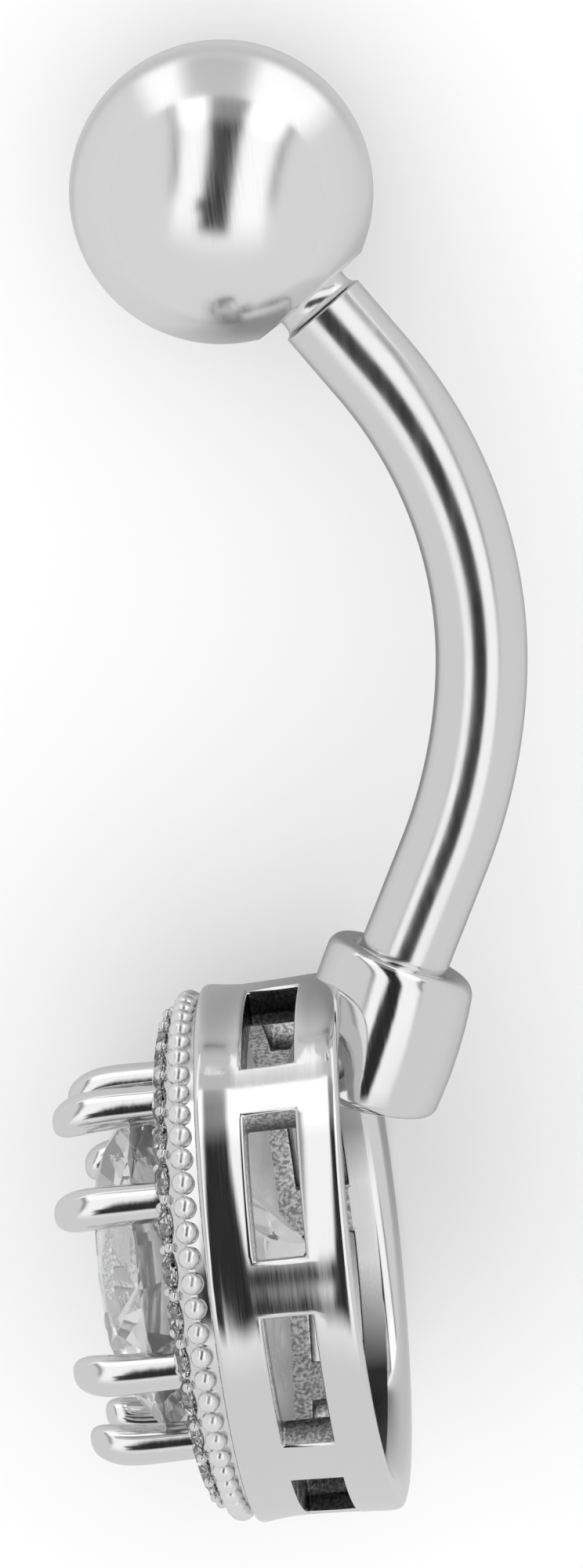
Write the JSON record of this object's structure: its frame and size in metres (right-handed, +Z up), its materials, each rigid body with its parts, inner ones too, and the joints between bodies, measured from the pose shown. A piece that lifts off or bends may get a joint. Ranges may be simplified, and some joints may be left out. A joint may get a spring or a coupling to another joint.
{
  "type": "navel ring",
  "caption": "Curved bar navel ring with a screw-on ball and a round open-backed halo head that holds one large clear cut stone in claws.",
  "frame": {"origin": "middle of the box's bottom face, on the surface that the ring lies on", "axes": "+Y runs from the stone head to the ball, +X from the stone's table to the open back of the head, +Z up"},
  "size_m": [0.0088, 0.0248, 0.0091],
  "materials": {
    "polished_steel": "mirror polished surgical steel",
    "bright_plated_metal": "bright silver-coloured plating on a cast brass setting",
    "clear_stone": "clear faceted stone"
  },
  "bodies": {
    "jewel": {"curved_bar": "polished_steel", "setting": "bright_plated_metal", "center_stone": "clear_stone", "halo_stone_01": "clear_stone", "halo_stone_02": "clear_stone", "halo_stone_03": "clear_stone", "halo_stone_04": "clear_stone", "halo_stone_05": "clear_stone", "halo_stone_06": "clear_stone", "halo_stone_07": "clear_stone", "halo_stone_08": "clear_stone", "halo_stone_09": "clear_stone", "halo_stone_10": "clear_stone", "halo_stone_11": "clear_stone", "halo_stone_12": "clear_stone", "halo_stone_13": "clear_stone", "halo_stone_14": "clear_stone", "halo_stone_15": "clear_stone", "halo_stone_16": "clear_stone", "halo_stone_17": "clear_stone", "halo_stone_18": "clear_stone", "halo_stone_19": "clear_stone", "halo_stone_20": "clear_stone", "halo_stone_21": "clear_stone", "halo_stone_22": "clear_stone", "halo_stone_23": "clear_stone", "halo_stone_24": "clear_stone", "halo_stone_25": "clear_stone", "halo_stone_26": "clear_stone", "halo_stone_27": "clear_stone", "halo_stone_28": "clear_stone", "halo_stone_29": "clear_stone", "halo_stone_30": "clear_stone", "halo_stone_31": "clear_stone", "halo_stone_32": "clear_stone"},
    "ball": {"ball": "polished_steel"}
  },
  "joints": [
    {"name": "ball_unscrew", "type": "slide", "parent": "jewel", "child": "ball", "axis": [-0.5609, 0.8226, -0.0937], "range_m": [0, 0.0019]}
  ]
}
